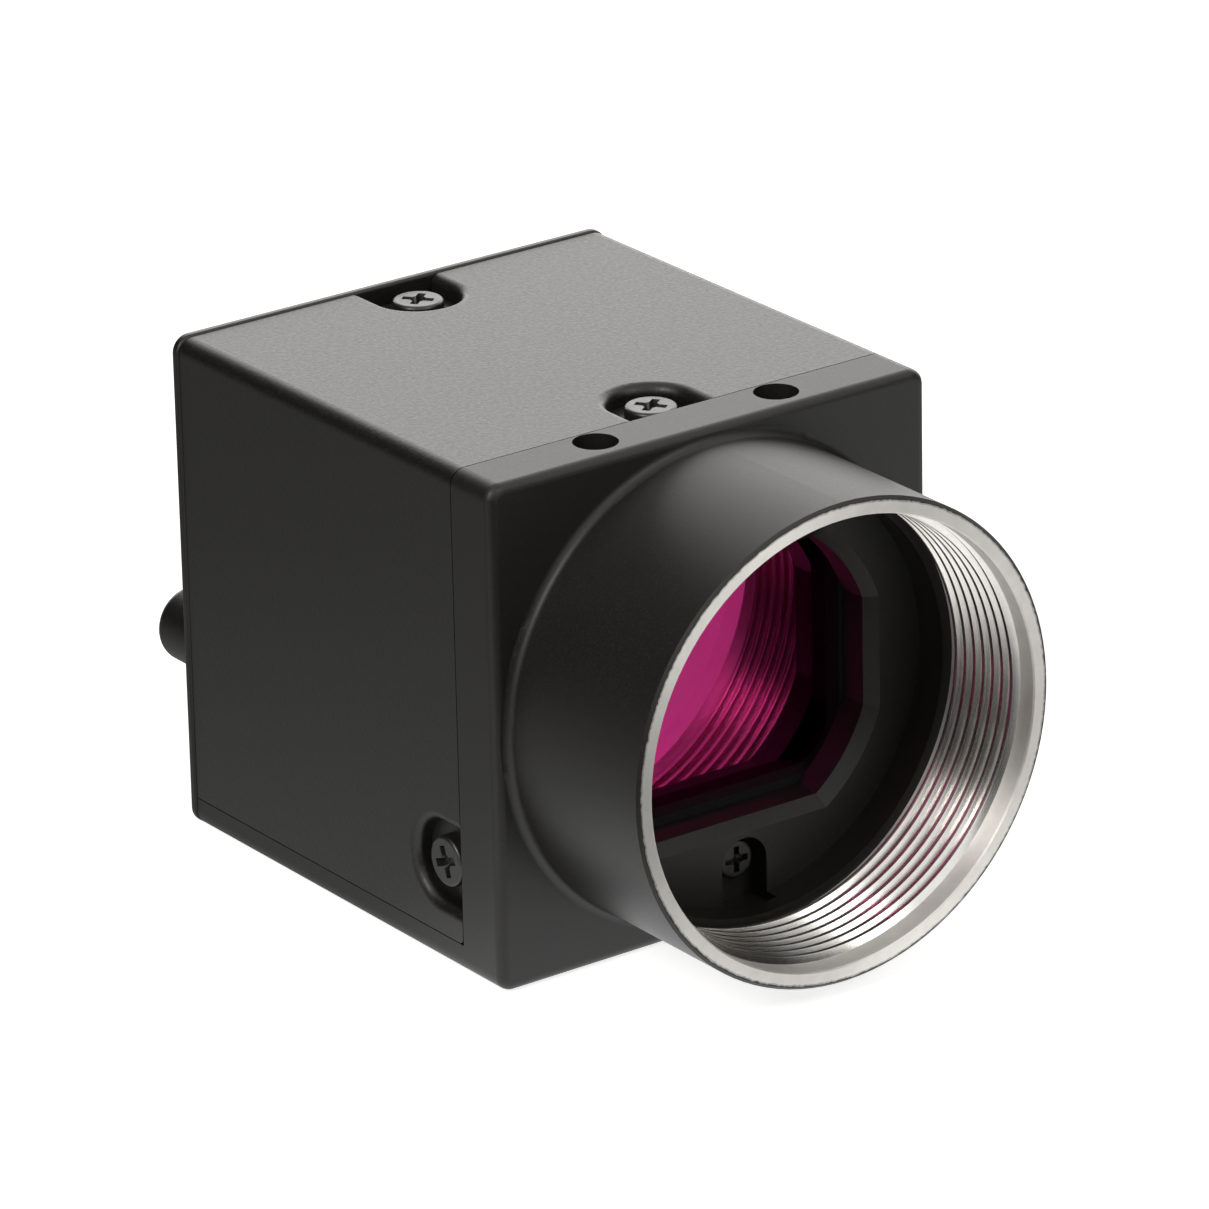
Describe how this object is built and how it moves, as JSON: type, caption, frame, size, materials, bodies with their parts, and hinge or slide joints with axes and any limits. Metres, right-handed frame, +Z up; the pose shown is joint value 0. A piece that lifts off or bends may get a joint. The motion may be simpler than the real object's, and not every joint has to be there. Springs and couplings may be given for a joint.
{
  "type": "machine vision camera",
  "caption": "Compact cube camera for machine vision with a C-mount lens thread, black metal housing, sensor behind a tinted filter, and data and trigger sockets at the back.",
  "frame": {"origin": "centre of the lens flange, the front rim of the barrel, on the optical axis", "axes": "-Y out of the lens mount along the optical axis, +X to the right as seen from the lens side, +Z up"},
  "size_m": [0.0292, 0.048, 0.0291],
  "materials": {
    "housing": "satin black coating over fine blasted aluminium",
    "cover_coat": "satin black coating with a fine blasted grain",
    "plate_coat": "satin black coating",
    "black_screw": "black oxide steel",
    "holder_black": "matte black",
    "filter_glass": "coated glass that reflects magenta",
    "gasket": "matte black foam rubber",
    "package_ceramic": "matte dark ceramic",
    "clear_glass": "clear",
    "silicon": "polished silicon",
    "board_laminate": "green solder mask over glass laminate",
    "chip_black": "moulded black",
    "connector_plastic": "moulded dark grey",
    "standoff_brass": "turned",
    "bright_steel": "plated",
    "contact_gold": "gold plated",
    "round_shell": "black coated metal",
    "light_clear": "frosted clear"
  },
  "bodies": {
    "root": {"chassis": "housing", "cover": "cover_coat", "rear_plate": "plate_coat", "cover_screw_top_front": "black_screw", "cover_screw_top_rear": "black_screw", "cover_screw_left": "black_screw", "cover_screw_right": "black_screw", "plate_screw_left": "black_screw", "plate_screw_right": "black_screw", "holder_screw_bottom": "black_screw", "holder_screw_top": "black_screw", "sensor_holder": "holder_black", "filter_glass": "filter_glass", "filter_gasket": "gasket", "sensor_package": "package_ceramic", "sensor_window": "clear_glass", "sensor_die": "silicon", "sensor_board": "board_laminate", "processor_board": "board_laminate", "interface_board": "board_laminate", "front_standoffs": "standoff_brass", "rear_standoffs": "standoff_brass", "stack_screws": "bright_steel", "front_link_plug": "connector_plastic", "front_link_socket": "connector_plastic", "rear_link_plug": "connector_plastic", "rear_link_socket": "connector_plastic", "processor_chip": "chip_black", "memory_chip": "chip_black", "usb_controller_chip": "chip_black", "usb_shell": "bright_steel", "usb_insulator": "connector_plastic", "usb_contacts": "contact_gold", "gpio_shell": "round_shell", "gpio_nut": "round_shell", "gpio_insert": "connector_plastic", "gpio_pins": "contact_gold", "status_led": "light_clear", "light_pipe": "light_clear"}
  },
  "joints": []
}
